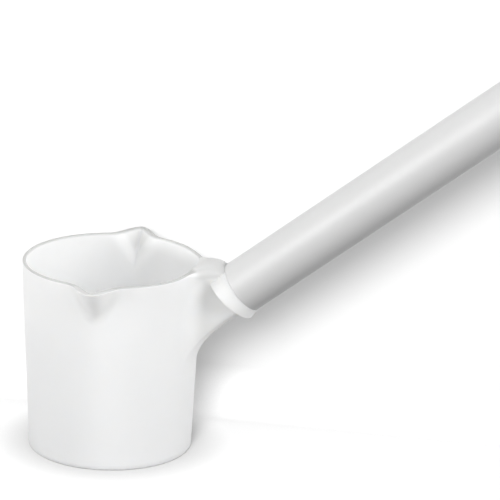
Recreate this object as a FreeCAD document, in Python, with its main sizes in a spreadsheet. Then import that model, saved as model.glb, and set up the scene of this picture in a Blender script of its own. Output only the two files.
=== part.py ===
import FreeCAD, Part
import os
import re
import Sketcher
from FreeCAD import Placement, Rotation, Vector

# Long-handled water dipper: a moulded bowl with two pouring lips, a neck and a collar in one piece,
# a straight tube pushed over the bowl's spigot, and a hanging cap that closes the tube's far end.
# The origin is the centre of the bowl's underside. +Z is up, the handle rises towards +X
# and the pouring lips point along +Y and -Y.

# Driving sizes in millimetres, and angles in degrees
SIZES = {
    # Bowl
    "rim_radius": 56.3,
    "base_radius": 51.4,
    "bowl_height": 121.5,
    "wall": 2.2,
    "floor_thickness": 2.6,
    "foot_round": 1.6,
    "floor_round": 4.0,
    # Pouring lips: the nose's distance from the bowl's axis, and the depth of its ridge below the rim
    "lip_reach": 73.0,
    "lip_half_width": 13.0,
    "lip_depth": 21.0,
    "nose_radius": 3.0,
    "lip_mouth_run": 4.0,
    # Where the tube's axis meets the collar's face: from the bowl's axis, and below the rim
    "joint_reach": 82.6,
    "joint_drop": 10.8,
    "handle_lean": 38.3,
    # Collar: a wedge, thinnest below, that flares away from the tube
    "collar_face_radius": 17.5,
    "collar_radius": 19.0,
    "collar_thickness": 6.2,
    "collar_wedge": 9.0,
    "collar_edge_break": 0.6,
    # Neck between the bowl and the collar, with its thumb pad above the rim
    "neck_half_width": 12.5,
    "neck_under": 13.5,
    "under_round": 7.0,
    "root_half_width": 15.5,
    "root_under": 32.4,
    "root_round": 11.5,
    "pad_round": 4.5,
    "pad_rise": 5.4,
    # Spigot inside the tube, cored out from its end
    "spigot_length": 38.0,
    "spigot_wall": 2.6,
    "spigot_lead": 1.5,
    "core_depth": 19.0,
    # Handle tube
    "tube_radius": 17.0,
    "tube_wall": 2.5,
    "tube_length": 400.0,
    "push_gap": 0.05,
    # Hanging cap
    "plug_length": 22.0,
    "plug_wall": 2.2,
    "cap_shoulder": 4.0,
    "cap_rise": 26.0,
    "cap_inset": 10.0,
    "cap_web": 3.0,
    "cap_edge_round": 2.0,
    "tab_half_thickness": 5.5,
    "tab_foot": 14.0,
    "eye_radius": 4.5,
    "eye_height": 19.0,
    # Runs a cutting sketch past the surface that it cuts
    "overrun": 5.0,
}

# Neck sections from inside the bowl's wall out to the collar's face. Each row has its place on the handle's
# axis as a share of the run from joint to rim, its lean as a share of the handle's, how far its sides and
# its underside have flared from the neck's waist to its root, and its crest as a share of the pad's rise.
NECK_SHARES = (
    (1.354, 0.00, 3.00, 1.90, -0.50),
    (1.10, 0.00, 1.00, 1.00, 0.02),
    (0.90, 0.10, 0.05, 0.32, 0.35),
    (0.60, 0.40, 0.00, 0.02, 0.80),
    (0.275, 0.75, 0.00, 0.00, 0.97),
    (0.12, 0.89, 0.00, 0.00, 0.95),
    (0.018, 1.00, 0.00, 0.00, 0.59),
)

# The toe of a pouring lip's ridge, as a share of the lip's width at the rim
TOE_SHARE = 0.06

# How near two places count as the same
NEAR = 1e-4

doc = FreeCAD.newDocument("water_dipper")
sheet = doc.addObject("Spreadsheet::Sheet", "Sizes")
for row, (alias, size) in enumerate(SIZES.items(), start=1):
    sheet.set(f"A{row}", alias)
    sheet.set(f"B{row}", str(size))
    sheet.setAlias(f"B{row}", alias)
doc.recompute()


def bind(text):
    """An expression in which every driving size points at its cell."""
    return re.sub(r"[a-z]\w*", lambda word: f"Sizes.{word[0]}" if word[0] in SIZES else word[0], text)


def amount(text):
    """The number that an expression has now."""
    return float(sheet.evalExpression(bind(text)))


def drive(item, path, text):
    """Ties one property or constraint of an object to the sheet."""
    item.setExpression(path, bind(text))


# Names for what several pieces share
joint_height = "(bowl_height - joint_drop)"
axis_rise = "tan(handle_lean)"
bore_radius = "(tube_radius - tube_wall)"
push_radius = f"({bore_radius} - push_gap)"
bowl_taper = "((rim_radius - base_radius) / bowl_height)"
lip_foot_radius = f"(rim_radius - {bowl_taper} * lip_depth)"


def new_body(name):
    """A sub-part whose label names its file."""
    body = doc.addObject("PartDesign::Body", name)
    body.Label = name
    return body


def sketch_on(body, name, role):
    """A sketch on one of the body's own origin planes."""
    sketch = body.newObject("Sketcher::SketchObject", name)
    plane = next(item for item in body.Origin.OriginFeatures if item.Role == role)
    sketch.AttachmentSupport = [(plane, "")]
    sketch.MapMode = "FlatFace"
    return sketch


def level_sketch(body, name, height):
    """A horizontal sketch at a height."""
    sketch = sketch_on(body, name, "XY_Plane")
    drive(sketch, "AttachmentOffset.Base.z", height)
    return sketch


def leaning_sketch(body, name, reach, height, lean):
    """A sketch across the handle, centred in the mirror plane, whose normal leans up from +X."""
    sketch = sketch_on(body, name, "YZ_Plane")
    sketch.AttachmentOffset = Placement(Vector(), Rotation(Vector(-1, 0, 0), 1))
    drive(sketch, "AttachmentOffset.Base.z", reach)
    drive(sketch, "AttachmentOffset.Base.y", height)
    drive(sketch, "AttachmentOffset.Rotation.Angle", lean)
    return sketch


def hold(sketch, kind, where, text):
    """A dimension of a sketch, driven by an expression."""
    index = sketch.addConstraint(Sketcher.Constraint(kind, *where, amount(text)))
    name = f"{kind}_{index}"
    sketch.renameConstraint(index, name)
    drive(sketch, f"Constraints.{name}", text)


def outline(sketch, points, arcs=None):
    """A closed outline, counter-clockwise. arcs gives the radius of the edge that leaves a point."""
    arcs = arcs or {}
    spots = [Vector(amount(x), amount(y), 0) for x, y in points]
    count = len(spots)
    for index, start in enumerate(spots):
        end = spots[(index + 1) % count]
        if index in arcs:
            chord = end - start
            radius = amount(arcs[index])
            outward = Vector(chord.y, -chord.x, 0).normalize()
            sagitta = radius - (radius ** 2 - chord.Length ** 2 / 4) ** 0.5
            sketch.addGeometry(Part.Arc(start, (start + end) / 2 + outward * sagitta, end), False)
        else:
            sketch.addGeometry(Part.LineSegment(start, end), False)
    for index, (x, y) in enumerate(points):
        sketch.addConstraint(Sketcher.Constraint("Coincident", index - 1 if index else count - 1, 2, index, 1))
        hold(sketch, "DistanceX", (-1, 1, index, 1), x)
        hold(sketch, "DistanceY", (-1, 1, index, 1), y)
    for index, radius in arcs.items():
        hold(sketch, "Radius", (index,), radius)


def circle(sketch, radius, x="0", y="0"):
    """A circle, on the sketch's origin unless it has a place."""
    centre = Vector(amount(x), amount(y), 0)
    index = sketch.addGeometry(Part.Circle(centre, Vector(0, 0, 1), amount(radius)), False)
    hold(sketch, "Radius", (index,), radius)
    if (x, y) == ("0", "0"):
        sketch.addConstraint(Sketcher.Constraint("Coincident", index, 3, -1, 1))
    else:
        hold(sketch, "DistanceX", (-1, 1, index, 3), x)
        hold(sketch, "DistanceY", (-1, 1, index, 3), y)


def turned(body, kind, name, sketch):
    """A revolution or a groove of a sketch about the body's vertical axis."""
    feature = body.newObject(f"PartDesign::{kind}", name)
    feature.Profile = sketch
    feature.ReferenceAxis = (sketch, ["V_Axis"])
    feature.Angle = 360
    return feature


def lofted(body, kind, name, sketches, ruled):
    """An additive or subtractive loft through sketches."""
    feature = body.newObject(f"PartDesign::{kind}Loft", name)
    feature.Profile = sketches[0]
    feature.Sections = sketches[1:]
    feature.Ruled = ruled
    return feature


def extruded(body, kind, name, sketch, length, midplane=False):
    """A pad or a pocket of a sketch."""
    feature = body.newObject(f"PartDesign::{kind}", name)
    feature.Profile = sketch
    feature.Midplane = midplane
    drive(feature, "Length", length)
    return feature


def dressed(body, kind, name, edges, size):
    """A fillet or a chamfer on the edges of the last feature that pass a test."""
    base = body.Tip
    doc.recompute()
    names = [f"Edge{i}" for i, edge in enumerate(base.Shape.Edges, start=1) if edges(edge)]
    if not names:
        raise RuntimeError(f"{name} finds no edge")
    feature = body.newObject(f"PartDesign::{kind}", name)
    feature.Base = (base, names)
    drive(feature, "Radius" if kind == "Fillet" else "Size", size)
    return feature


def cut_checked(body, before):
    """Stops if the last cut took nothing away."""
    doc.recompute()
    if body.Shape.Volume >= before:
        raise RuntimeError(f"{body.Tip.Name} cuts nothing")
    return body.Shape.Volume


def is_ring(edge, radius, height):
    """Whether an edge is a level circle of this radius at this height."""
    curve = edge.Curve
    if not isinstance(curve, Part.Circle):
        return False
    near = abs(curve.Radius - radius) < NEAR and abs(curve.Center.z - height) < NEAR
    return near and abs(abs(curve.Axis.z) - 1) < NEAR


def rounded_section(sketch, half_width, up, down, low):
    """A neck section: an upright rounded box with tighter corners on its crest than below."""
    high = "pad_round"
    outline(
        sketch,
        [
            (f"{low} - {half_width}", f"-{down}"),
            (f"{half_width} - {low}", f"-{down}"),
            (half_width, f"{low} - {down}"),
            (half_width, f"{up} - {high}"),
            (f"{half_width} - {high}", up),
            (f"{high} - {half_width}", up),
            (f"-{half_width}", f"{up} - {high}"),
            (f"-{half_width}", f"{low} - {down}"),
        ],
        {1: low, 3: high, 5: high, 7: low},
    )


def neck_sections(body):
    """The neck's sections, from inside the bowl's wall to just inside the collar's face."""
    sketches = []
    for index, (place_share, lean_share, side_share, under_share, crest_share) in enumerate(NECK_SHARES):
        run = f"({place_share} * (joint_reach - rim_radius))"
        height = f"({joint_height} - {run} * {axis_rise})"
        lean = f"{lean_share} * handle_lean"
        up = f"((bowl_height + {crest_share} * pad_rise - {height}) / cos({lean}))"
        down = f"(neck_under + {under_share} * (root_under - neck_under))"
        half_width = f"(neck_half_width + {side_share} * (root_half_width - neck_half_width))"
        low = f"(under_round + {side_share} * (root_round - under_round))"
        sketch = leaning_sketch(body, f"neck_section_{index}", f"joint_reach - {run}", height, lean)
        rounded_section(sketch, half_width, up, down, low)
        sketches.append(sketch)
    return sketches


def add_collar(body):
    """The wedge-shaped collar that the tube's end stands on, with broken edges."""
    back_run = "(collar_thickness + collar_radius * sin(collar_wedge))"
    rings = (
        ("collar_face", "0", "handle_lean", "collar_face_radius - collar_edge_break"),
        ("collar_front", "collar_edge_break", "handle_lean", "collar_face_radius"),
        ("collar_rear", f"({back_run} - collar_edge_break)", "handle_lean - collar_wedge", "collar_radius"),
        ("collar_back", back_run, "handle_lean - collar_wedge", "collar_radius - collar_edge_break"),
    )
    sketches = []
    for name, run, lean, radius in rings:
        sketch = leaning_sketch(
            body,
            name,
            f"joint_reach - {run} * cos(handle_lean)",
            f"{joint_height} - {run} * sin(handle_lean)",
            lean,
        )
        circle(sketch, radius)
        sketches.append(sketch)
    lofted(body, "Additive", "collar", sketches, True)


def add_spigot(body):
    """The spigot that fills the tube's end."""
    root = leaning_sketch(body, "spigot_root", "joint_reach", joint_height, "handle_lean")
    circle(root, push_radius)
    extruded(body, "Pad", "spigot", root, "spigot_length")
    reach = amount("joint_reach + spigot_length * cos(handle_lean)")

    def at_end(edge):
        return isinstance(edge.Curve, Part.Circle) and abs(edge.Curve.Center.x - reach) < NEAR

    dressed(body, "Chamfer", "spigot_lead_in", at_end, "spigot_lead")


def add_blank(body):
    """The bowl's outside as a solid cone with a rounded foot."""
    sketch = sketch_on(body, "bowl_outline", "XZ_Plane")
    outline(
        sketch,
        [
            ("0", "0"),
            ("base_radius - foot_round", "0"),
            (f"base_radius + foot_round * {bowl_taper}", "foot_round"),
            ("rim_radius", "bowl_height"),
            ("0", "bowl_height"),
        ],
        {1: f"(foot_round * (1 + {bowl_taper}))"},
    )
    turned(body, "Revolution", "bowl_blank", sketch)


def lip_plan(sketch, half_width, chord, reach, nose, side):
    """A pouring lip in plan: a triangle on a chord of the wall, with a round nose."""
    length = f"({reach} - {chord})"
    sine = f"({half_width} / sqrt({half_width} * {half_width} + {length} * {length}))"
    apex = f"({reach} + {nose} / {sine} - {nose})"
    flank = f"({half_width} / sqrt({half_width} * {half_width} + ({apex} - {chord}) * ({apex} - {chord})))"
    nose_x = f"({nose} * sqrt(1 - {flank} * {flank}))"
    nose_y = f"({apex} - {nose} / {flank} + {nose} * {flank})"
    corners = [(half_width, chord), (nose_x, nose_y), (f"-{nose_x}", nose_y), (f"-{half_width}", chord)]
    if side < 0:
        corners = [(x, f"-{y}") for x, y in reversed(corners)]
    outline(sketch, corners, {1: nose})


def add_lips(body):
    """The two pouring lips, solid."""
    chord = "sqrt(rim_radius * rim_radius - lip_half_width * lip_half_width)"
    for side, word in ((-1, "front"), (1, "back")):
        top = level_sketch(body, f"{word}_lip_top", "bowl_height")
        lip_plan(top, "lip_half_width", chord, "lip_reach", "nose_radius", side)
        toe = level_sketch(body, f"{word}_lip_toe", "bowl_height - lip_depth")
        toe_chord = f"({lip_foot_radius} - {TOE_SHARE} * lip_half_width)"
        lip_plan(toe, f"({TOE_SHARE} * lip_half_width)", toe_chord, lip_foot_radius,
                 f"({TOE_SHARE} * nose_radius)", side)
        lofted(body, "Additive", f"{word}_lip", [top, toe], True)


def lip_hollow_plan(sketch, half_width, chord, reach, side):
    """The hollow of a pouring lip in plan: a sharp V, one wall inside the lip's own flanks."""
    length = f"({reach} - {chord})"
    nose = f"({reach} - wall * sqrt({half_width} * {half_width} + {length} * {length}) / {half_width})"
    mouth = f"({half_width} * ({nose} - {chord} + lip_mouth_run) / {length})"
    corners = [(mouth, f"({chord} - lip_mouth_run)"), ("0", nose), (f"-{mouth}", f"({chord} - lip_mouth_run)")]
    if side < 0:
        corners = [(x, f"-{y}") for x, y in reversed(corners)]
    outline(sketch, corners)


def cut_cavity(body):
    """The bowl's inside, cut from above the rim down to the floor."""
    sketch = sketch_on(body, "cavity_outline", "XZ_Plane")
    outline(
        sketch,
        [
            ("0", "floor_thickness"),
            (f"base_radius - wall + {bowl_taper} * floor_thickness", "floor_thickness"),
            (f"rim_radius - wall + {bowl_taper} * overrun", "bowl_height + overrun"),
            ("0", "bowl_height + overrun"),
        ],
    )
    turned(body, "Groove", "cavity", sketch)


def cut_lips(body):
    """The V-shaped hollows of the two pouring lips."""
    chord = "sqrt(rim_radius * rim_radius - lip_half_width * lip_half_width)"
    for side, word in ((-1, "front"), (1, "back")):
        top = level_sketch(body, f"{word}_hollow_top", "bowl_height")
        lip_hollow_plan(top, "lip_half_width", chord, "lip_reach", side)
        toe = level_sketch(body, f"{word}_hollow_toe", "bowl_height - lip_depth")
        outline(toe, hollow_toe(side))
        lofted(body, "Subtractive", f"{word}_hollow", [top, toe], True)


def hollow_toe(side):
    """The hollow's lowest section: a small V that lies inside the bowl's cavity."""
    half_width = f"({TOE_SHARE} * lip_half_width)"
    back = f"({lip_foot_radius} - 2 * wall)"
    corners = [(half_width, back), ("0", f"({lip_foot_radius} - wall)"), (f"-{half_width}", back)]
    if side < 0:
        corners = [(x, f"-{y}") for x, y in reversed(corners)]
    return corners


def cut_core(body):
    """The blind core hole from the spigot's end into the neck."""
    mouth = leaning_sketch(
        body,
        "core_mouth",
        "joint_reach + spigot_length * cos(handle_lean)",
        f"{joint_height} + spigot_length * sin(handle_lean)",
        "handle_lean",
    )
    circle(mouth, f"({push_radius} - spigot_wall)")
    extruded(body, "Pocket", "core", mouth, "spigot_length + core_depth")


def make_bowl():
    """The one-piece bowl with its pouring lips, neck, collar and spigot."""
    body = new_body("dipper_bowl")
    add_collar(body)
    add_spigot(body)
    lofted(body, "Additive", "neck", neck_sections(body), False)
    add_blank(body)
    add_lips(body)
    doc.recompute()
    volume = body.Shape.Volume
    cut_cavity(body)
    volume = cut_checked(body, volume)
    inner_radius = amount(f"base_radius - wall + {bowl_taper} * floor_thickness")
    floor = amount("floor_thickness")
    dressed(body, "Fillet", "floor_edge", lambda edge: is_ring(edge, inner_radius, floor), "floor_round")
    doc.recompute()
    volume = body.Shape.Volume
    cut_lips(body)
    volume = cut_checked(body, volume)
    cut_core(body)
    cut_checked(body, volume)
    return body


def on_handle(body, run):
    """Places a sub-part's own axis along the handle, its origin this far up from the collar's face."""
    body.Placement = Placement(Vector(), Rotation(Vector(0, 1, 0), 1))
    drive(body, "Placement.Base.x", f"joint_reach + {run} * cos(handle_lean)")
    drive(body, "Placement.Base.z", f"{joint_height} + {run} * sin(handle_lean)")
    drive(body, "Placement.Rotation.Angle", "90 - handle_lean")


def make_tube():
    """The straight extruded handle tube."""
    body = new_body("handle_tube")
    ring = sketch_on(body, "tube_section", "XY_Plane")
    circle(ring, "tube_radius")
    circle(ring, bore_radius)
    extruded(body, "Pad", "tube", ring, "tube_length")
    on_handle(body, "0")
    return body


def make_cap():
    """The cap: a cored plug inside the tube, a shoulder on its end and a flattened tab with an eye."""
    body = new_body("hanging_cap")
    section = sketch_on(body, "cap_outline", "XZ_Plane")
    cored = f"({push_radius} - plug_wall)"
    top = "(cap_shoulder + cap_rise)"
    outline(
        section,
        [
            (cored, "-plug_length"),
            (push_radius, "-plug_length"),
            (push_radius, "0"),
            ("tube_radius", "0"),
            ("tube_radius", "cap_shoulder"),
            ("tube_radius - cap_inset", top),
            ("0", top),
            ("0", "cap_web"),
            (cored, "cap_web"),
        ],
        {4: "(cap_rise * cap_rise + cap_inset * cap_inset) / (2 * cap_inset)"},
    )
    turned(body, "Revolution", "cap_blank", section)
    crown_radius, crown = amount("tube_radius - cap_inset"), amount(top)
    dressed(body, "Fillet", "cap_crown", lambda edge: is_ring(edge, crown_radius, crown), "cap_edge_round")
    doc.recompute()
    volume = body.Shape.Volume
    for side, word in ((-1, "left"), (1, "right")):
        flat = sketch_on(body, f"{word}_flat", "YZ_Plane")
        corners = [
            ("tab_half_thickness", "tab_foot"),
            ("tube_radius + overrun", "tab_foot - (tube_radius + overrun - tab_half_thickness)"),
            ("tube_radius + overrun", f"{top} + overrun"),
            ("tab_half_thickness", f"{top} + overrun"),
        ]
        if side < 0:
            corners = [(f"-({x})", y) for x, y in reversed(corners)]
        outline(flat, corners)
        extruded(body, "Pocket", f"{word}_flat_cut", flat, "2 * (tube_radius + overrun)", True)
        volume = cut_checked(body, volume)
    eye = sketch_on(body, "eye_outline", "XZ_Plane")
    circle(eye, "eye_radius", "0", "eye_height")
    extruded(body, "Pocket", "eye", eye, "2 * (tube_radius + overrun)", True)
    cut_checked(body, volume)
    on_handle(body, "tube_length")
    return body


sub_parts = [make_bowl(), make_tube(), make_cap()]
doc.recompute()
for item in doc.Objects:
    if {"Invalid", "Error"} & set(item.State):
        raise RuntimeError(f"{item.Name} is {item.State}")
for body in sub_parts:
    if body.Shape.isNull() or not body.Shape.isValid() or len(body.Shape.Solids) != 1:
        raise RuntimeError(f"{body.Label} isn't one valid solid")
os.makedirs("parts", exist_ok=True)
for body in sub_parts:
    body.Shape.exportStep(os.path.join("parts", f"{body.Label}.step"))
    box = body.Shape.BoundBox
    print(f"{body.Label}: {body.Shape.Volume:.0f} mm3, x {box.XMin:.1f} to {box.XMax:.1f}, "
          f"y {box.YMin:.1f} to {box.YMax:.1f}, z {box.ZMin:.1f} to {box.ZMax:.1f}")
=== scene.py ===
"""Water dipper: a moulded bowl with pouring lips and a neck, a tube handle and a hanging cap."""
import logging
import math
from dataclasses import dataclass
from enum import Enum

import bpy
import numpy as np
from mathutils import Matrix, Vector


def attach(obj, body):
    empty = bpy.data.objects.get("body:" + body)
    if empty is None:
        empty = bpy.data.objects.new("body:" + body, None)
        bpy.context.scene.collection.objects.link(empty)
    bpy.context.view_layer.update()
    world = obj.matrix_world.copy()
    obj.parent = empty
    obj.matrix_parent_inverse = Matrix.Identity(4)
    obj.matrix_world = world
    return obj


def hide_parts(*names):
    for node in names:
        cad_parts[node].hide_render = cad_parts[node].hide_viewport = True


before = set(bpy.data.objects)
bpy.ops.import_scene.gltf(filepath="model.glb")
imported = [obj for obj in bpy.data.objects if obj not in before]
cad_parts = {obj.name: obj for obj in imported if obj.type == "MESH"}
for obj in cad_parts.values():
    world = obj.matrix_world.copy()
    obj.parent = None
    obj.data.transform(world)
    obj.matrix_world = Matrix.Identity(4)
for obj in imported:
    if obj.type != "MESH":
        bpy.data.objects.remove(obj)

log = logging.getLogger("dipper")

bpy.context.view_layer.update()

# One millimetre in metres
MM = 0.001

# How far the handle rises, in degrees
HANDLE_LEAN = 38.3

# Edges that bend by more than this many degrees stay sharp
CREASE = 32.0

# Angles and shares under this count as nothing
TINY = 1e-6

# The moulding's attribute that holds its painted shade, how far its plastic's colour is darkened
PAINTED_SHADE_MARK = "shade"

# A row of points on the bowl: their azimuths, radii and heights
Row = tuple[np.ndarray, np.ndarray, np.ndarray]

# The corners of one face
Face = tuple[int, ...]


def smooth_max(a: np.ndarray, b: np.ndarray, blend: float) -> np.ndarray:
    """Blends two surfaces into the outer one.

    Args:
        a: first distances, in millimetres.
        b: second distances, in millimetres.
        blend: how wide the rounded meeting is, in millimetres.

    Returns:
        The larger distance of each pair, rounded where the two meet.
    """
    share = np.maximum(blend - np.abs(a - b), 0.0) / blend
    return np.maximum(a, b) + share * share * blend / 4.0


def ramp(value: np.ndarray, start: float, end: float) -> np.ndarray:
    """Eases a share from 0 to 1.

    Args:
        value: places along the ramp.
        start: where the share is 0.
        end: where the share is 1.

    Returns:
        The share at each place.
    """
    share = np.clip((value - start) / (end - start), 0.0, 1.0)
    return share * share * (3.0 - 2.0 * share)


def quarter(steps: int) -> list[float]:
    """Gives the angles of a quarter turn in equal steps, in radians."""
    return [math.radians(angle) for angle in np.linspace(0, 90, steps + 1)]


def towards(azimuth: float, elevation: float) -> Vector:
    """Gives the direction from the object towards a viewer or a lamp.

    Args:
        azimuth: its angle round the object, in degrees; 0 is the front.
        elevation: its angle above the floor, in degrees.

    Returns:
        The direction.
    """
    a, e = math.radians(azimuth), math.radians(elevation)
    return Vector((math.sin(a) * math.cos(e), -math.cos(a) * math.cos(e), math.sin(e)))


def strips(rows: int, count: int, gap: set[tuple[int, int]]) -> list[Face]:
    """Joins rows of points, each a closed ring, into bands of faces.

    Args:
        rows: how many rows there are.
        count: how many points a row has.
        gap: the row and the column of each face that is left out.

    Returns:
        The faces.
    """
    faces = []
    for k in range(rows - 1):
        for i in range(count):
            j = (i + 1) % count
            if (k, i) not in gap:
                faces.append((k * count + i, k * count + j, (k + 1) * count + j, (k + 1) * count + i))
    return faces


def fan(ring: list[int], pole: int) -> list[Face]:
    """Closes a ring of points with triangles that meet in a pole."""
    return [(a, b, pole) for a, b in zip(ring, ring[1:] + ring[:1])]


def placed(name: str, data: bpy.types.ID) -> bpy.types.Object:
    """Adds an object to the scene, at the origin.

    Args:
        name: the object's name.
        data: its mesh, lamp or camera.

    Returns:
        The new object.
    """
    made = bpy.data.objects.new(name, data)
    bpy.context.scene.collection.objects.link(made)
    return made


def finish_shading(mesh: bpy.types.Mesh) -> None:
    """Shades a mesh smooth and keeps its sharp edges."""
    mesh.polygons.foreach_set("use_smooth", [True] * len(mesh.polygons))
    mesh.set_sharp_from_angle(angle=math.radians(CREASE))


def closed_object(name: str, points: np.ndarray, faces: list[Face]) -> bpy.types.Object:
    """Makes a closed mesh object whose faces point outwards.

    Args:
        name: the object's name.
        points: an (n, 3) array of places in millimetres.
        faces: the corners of each face, all turned the same way.

    Returns:
        The new object, at the origin.
    """
    volume = 0.0
    for face in faces:
        a = points[face[0]]
        for b, c in zip(face[1:-1], face[2:]):
            volume += float(np.dot(a, np.cross(points[b], points[c])))
    if volume < 0:
        faces = [tuple(reversed(face)) for face in faces]
    mesh = bpy.data.meshes.new(name)
    mesh.from_pydata([tuple(p) for p in points * MM], [], faces)
    mesh.validate()
    finish_shading(mesh)
    return placed(name, mesh)


def plain_copy(piece: bpy.types.Object, name: str) -> bpy.types.Object:
    """Turns what a piece's modifiers make into a plain mesh of its own.

    Args:
        piece: the object with modifiers; it is removed.
        name: the new piece's name.

    Returns:
        The object with the plain mesh.
    """
    bpy.context.view_layer.update()
    graph = bpy.context.evaluated_depsgraph_get()
    mesh = bpy.data.meshes.new_from_object(piece.evaluated_get(graph))
    mesh.name = name
    result = placed(name, mesh)
    bpy.data.objects.remove(piece)
    return result


class Nodes:
    """Adds and links the nodes of one tree."""

    def __init__(self, tree: bpy.types.NodeTree) -> None:
        """Starts with an empty tree."""
        self.tree = tree
        tree.nodes.clear()

    def add(self, kind: str, **values: object) -> bpy.types.Node:
        """Adds a node.

        Args:
            kind: the node's type name.
            values: values of its properties, or of its inputs with spaces as underscores. An output that is
                given as a value is linked to the input.

        Returns:
            The new node.
        """
        made = self.tree.nodes.new(kind)
        for key, value in values.items():
            if hasattr(made, key):
                setattr(made, key, value)
            elif isinstance(value, bpy.types.NodeSocket):
                self.link(value, made.inputs[key.replace("_", " ")])
            else:
                made.inputs[key.replace("_", " ")].default_value = value
        return made

    def link(self, source: bpy.types.NodeSocket, target: bpy.types.NodeSocket) -> None:
        """Links an output to an input."""
        self.tree.links.new(source, target)

    def maths(self, operation: str, a: bpy.types.NodeSocket,
              b: bpy.types.NodeSocket | float) -> bpy.types.NodeSocket:
        """Adds one sum.

        Args:
            operation: what is worked out.
            a: the output that gives the first value.
            b: the output that gives the second value, or the value itself.

        Returns:
            The output with the result.
        """
        made = self.add("ShaderNodeMath", operation=operation)
        self.link(a, made.inputs[0])
        if isinstance(b, bpy.types.NodeSocket):
            self.link(b, made.inputs[1])
        else:
            made.inputs[1].default_value = b
        return made.outputs[0]


def fresh_material(name: str) -> tuple[bpy.types.Material, Nodes]:
    """Starts a material.

    Args:
        name: the material's name.

    Returns:
        The material and its nodes, of which there are none yet.
    """
    material = bpy.data.materials.new(name)
    material.use_nodes = True
    return material, Nodes(material.node_tree)


class Texture(Enum):
    """How the surface of a plastic piece was formed."""

    MOULDED = "moulded"
    EXTRUDED = "extruded"


@dataclass(frozen=True)
class Plastic:
    """A pale plastic with cloudy colour, uneven gloss and the marks of how it was formed.

    Scales are in waves per metre, depths in millimetres and the lean in degrees. A detail says how many finer
    layers a pattern has. Where the painted shade level is under 1, the piece has a painted shade mark that
    says how far its colour goes down to that share of itself, standing in for shade.
    """

    name: str
    texture: Texture
    colour: tuple[float, float, float]
    cloud: tuple[float, float, float]
    roughness: float
    gloss_spread: float
    scatter: float
    scatter_depth: float
    lean: float = 0.0
    painted_shade_level: float = 1.0
    scatter_tint: tuple[float, float, float] = (1.0, 0.97, 0.92)
    refraction: float = 1.5
    cloud_scale: float = 16.0
    cloud_detail: float = 3.0
    cloud_range: tuple[float, float] = (0.3, 0.7)
    gloss_scale: float = 55.0
    gloss_detail: float = 4.0
    bump_strength: float = 0.5
    wave_scale: float = 45.0
    wave_detail: float = 1.0
    wave_depth: float = 0.12
    mould_scale: float = 1400.0
    mould_detail: float = 2.0
    mould_depth: float = 0.02
    draw_scale: tuple[float, float, float] = (4.0, 900.0, 900.0)
    draw_detail: float = 3.0
    draw_depth: float = 0.012

    def make(self) -> bpy.types.Material:
        """Builds the material from nodes on the object's own coordinates.

        Returns:
            The material.
        """
        material, nodes = fresh_material(self.name)
        own = nodes.add("ShaderNodeTexCoord")
        turned = nodes.add("ShaderNodeMapping", Vector=own.outputs["Object"],
                           Rotation=(0.0, math.radians(self.lean), 0.0))
        place = turned.outputs["Vector"]
        gloss = nodes.add("ShaderNodeTexNoise", Vector=place, Scale=self.gloss_scale,
                          Detail=self.gloss_detail)
        spread = nodes.add("ShaderNodeMapRange", Value=gloss.outputs["Fac"],
                           To_Min=self.roughness - self.gloss_spread,
                           To_Max=self.roughness + self.gloss_spread)
        shader = nodes.add("ShaderNodeBsdfPrincipled", Base_Color=self.tint(nodes, place),
                           Roughness=spread.outputs["Result"], Normal=self.relief(nodes, place),
                           IOR=self.refraction, Subsurface_Weight=self.scatter,
                           Subsurface_Radius=self.scatter_tint, Subsurface_Scale=self.scatter_depth * MM)
        nodes.add("ShaderNodeOutputMaterial", Surface=shader.outputs["BSDF"])
        return material

    def tint(self, nodes: Nodes, place: bpy.types.NodeSocket) -> bpy.types.NodeSocket:
        """Builds the cloudy colour, darkened by painted shade where the piece has its mark.

        Args:
            nodes: the material's nodes.
            place: the output that gives the coordinates.

        Returns:
            The output with the colour.
        """
        cloud = nodes.add("ShaderNodeTexNoise", Vector=place, Scale=self.cloud_scale,
                          Detail=self.cloud_detail)
        mottle = nodes.add("ShaderNodeValToRGB", Fac=cloud.outputs["Fac"])
        for stop, at, colour in zip(mottle.color_ramp.elements, self.cloud_range, (self.cloud, self.colour)):
            stop.position = at
            stop.color = (*colour, 1.0)
        # Painted shade: where the piece's mark is set, the colour is darkened towards a share of itself
        if self.painted_shade_level == 1.0:
            return mottle.outputs["Color"]
        mark = nodes.add("ShaderNodeAttribute", attribute_name=PAINTED_SHADE_MARK)
        blend = nodes.add("ShaderNodeMix", data_type="RGBA", Factor=mark.outputs["Fac"])
        plain, shade = [socket for socket in blend.inputs if socket.type == "RGBA"]
        nodes.link(mottle.outputs["Color"], plain)
        shade.default_value = (*(c * self.painted_shade_level for c in self.colour), 1.0)
        return [socket for socket in blend.outputs if socket.type == "RGBA"][0]

    def relief(self, nodes: Nodes, place: bpy.types.NodeSocket) -> bpy.types.NodeSocket:
        """Builds the fine relief of the mould or the extrusion die, on slow waves.

        Args:
            nodes: the material's nodes.
            place: the output that gives the coordinates.

        Returns:
            The output with the normal.
        """
        if self.texture is Texture.EXTRUDED:
            drawn = nodes.add("ShaderNodeMapping", Vector=place, Scale=self.draw_scale)
            grain = nodes.add("ShaderNodeTexNoise", Vector=drawn.outputs["Vector"], Scale=1.0,
                              Detail=self.draw_detail)
            depth = self.draw_depth
        else:
            grain = nodes.add("ShaderNodeTexNoise", Vector=place, Scale=self.mould_scale,
                              Detail=self.mould_detail)
            depth = self.mould_depth
        waves = nodes.add("ShaderNodeTexNoise", Vector=place, Scale=self.wave_scale, Detail=self.wave_detail)
        slow = nodes.add("ShaderNodeBump", Height=waves.outputs["Fac"], Strength=self.bump_strength,
                         Distance=self.wave_depth * MM)
        fast = nodes.add("ShaderNodeBump", Height=grain.outputs["Fac"], Normal=slow.outputs["Normal"],
                         Strength=self.bump_strength, Distance=depth * MM)
        return fast.outputs["Normal"]


# The bowl's painted shade darkens its colour to half where its mark is full
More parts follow.
